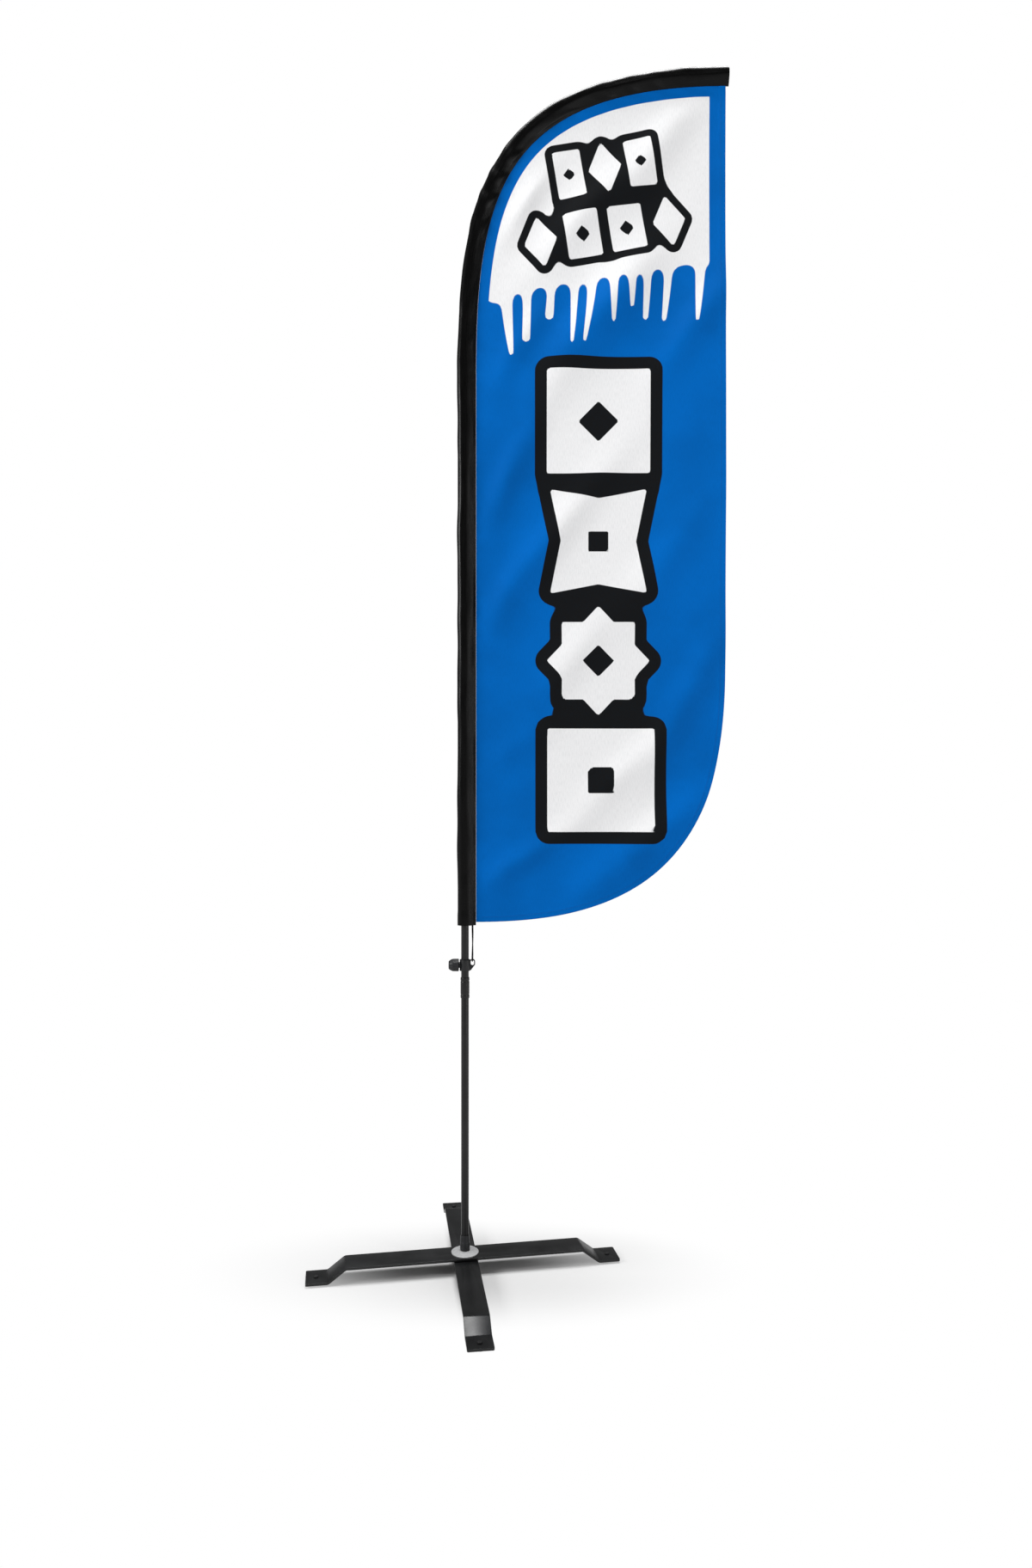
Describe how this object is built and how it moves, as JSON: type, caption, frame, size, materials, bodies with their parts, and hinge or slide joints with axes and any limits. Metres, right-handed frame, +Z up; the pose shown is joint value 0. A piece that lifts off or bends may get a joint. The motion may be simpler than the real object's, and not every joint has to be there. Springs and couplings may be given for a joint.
{
  "type": "feather flag",
  "caption": "Free-standing feather flag: a bent plug-together mast in a pole pocket carries a printed cloth, turns on a spindle, and stands on a folding cross of cranked steel bars.",
  "frame": {"origin": "middle of the floor box, on the floor under the feet; the mast's axis stands 112 mm towards -X from it", "axes": "+Z up along the mast, +X from the mast towards the cloth's free edge, +Y through the cloth's thickness, away from the viewer of its front"},
  "size_m": [0.8782, 0.654, 2.5137],
  "materials": {
    "bar_coat": "black powder coat, fine texture, satin",
    "foot_rubber": "matt black moulded rubber",
    "washer_fibre": "pressed fibre",
    "zinc_plate": "bright zinc plate",
    "flange_zinc": "dull grey zinc",
    "clip_steel": "phosphated spring steel",
    "bushing_nylon": "natural nylon",
    "cup_plastic": "black moulded nylon",
    "pole_black": "black anodised, satin",
    "ferrule_steel": "bright drawn steel",
    "rod_fibre": "pultruded glass fibre, black",
    "sleeve_satin": "black satin woven polyester",
    "printed_cloth": "dye-printed knitted polyester, blue",
    "elastic_braid": "black braided elastic",
    "webbing": "black woven tape",
    "clamp_plastic": "black moulded nylon",
    "insert_brass": "turned brass",
    "knob_plastic": "black moulded plastic, satin"
  },
  "bodies": {
    "base": {"lower_bar": "bar_coat", "foot_pad_front": "foot_rubber", "foot_pad_back": "foot_rubber", "friction_washer": "washer_fibre", "axle_bolt": "zinc_plate", "hub_nut": "zinc_plate", "retaining_clip": "clip_steel"},
    "upper_base": {"upper_bar": "bar_coat", "foot_pad_left": "foot_rubber", "foot_pad_right": "foot_rubber", "hub_flange": "flange_zinc"},
    "spindle": {"spindle_tube": "zinc_plate", "lower_bushing": "bushing_nylon", "upper_bushing": "bushing_nylon", "spindle_cup": "cup_plastic"},
    "lower_pole": {"pole_section_1": "pole_black", "pole_coupling": "pole_black"},
    "mast": {"pole_section_2": "pole_black", "ferrule_2": "ferrule_steel", "pole_section_3": "pole_black", "ferrule_3": "ferrule_steel", "pole_section_4": "rod_fibre", "ferrule_4": "ferrule_steel", "pole_section_5": "rod_fibre", "tip_cap": "foot_rubber", "sleeve": "sleeve_satin", "sleeve_end_patch": "sleeve_satin", "flag_panel": "printed_cloth", "tension_cord": "elastic_braid", "cord_tab": "webbing"},
    "clamp": {"clamp_collar": "clamp_plastic", "clamp_insert": "insert_brass"},
    "screw_tip": {"pressure_pad": "bushing_nylon"},
    "thumb_screw": {"clamp_stud": "zinc_plate", "clamp_knob": "knob_plastic"}
  },
  "joints": [
    {"name": "bars_fold", "type": "hinge", "parent": "base", "child": "upper_base", "pos_m": [-0.11216, 0, 0.0297], "axis": [0, 0, 1], "range_deg": [-75, 75]},
    {"name": "flag_turn", "type": "hinge", "parent": "base", "child": "spindle", "pos_m": [-0.11216, 0, 0.1], "axis": [0, 0, 1], "continuous": true},
    {"name": "pole_lift", "type": "slide", "parent": "spindle", "child": "lower_pole", "axis": [0, 0, 1], "range_m": [0, 0.12]},
    {"name": "mast_lift", "type": "slide", "parent": "lower_pole", "child": "mast", "axis": [0, 0, 1], "range_m": [0, 0.08]},
    {"name": "clamp_slide", "type": "slide", "parent": "mast", "child": "clamp", "axis": [0, 0, 1], "range_m": [-0.01, 0.055], "deforming": ["tension_cord"]},
    {"name": "screw_travel", "type": "slide", "parent": "clamp", "child": "screw_tip", "axis": [-1, 0, 0], "range_m": [0, 0.0021]},
    {"name": "screw_turn", "type": "hinge", "parent": "screw_tip", "child": "thumb_screw", "pos_m": [-0.132, 0, 0.6363], "axis": [-1, 0, 0], "range_deg": [0, 720]}
  ],
  "couplings": [
    {"joint": "screw_travel", "follows": "screw_turn", "m_per_rad": 0.00015915}
  ]
}
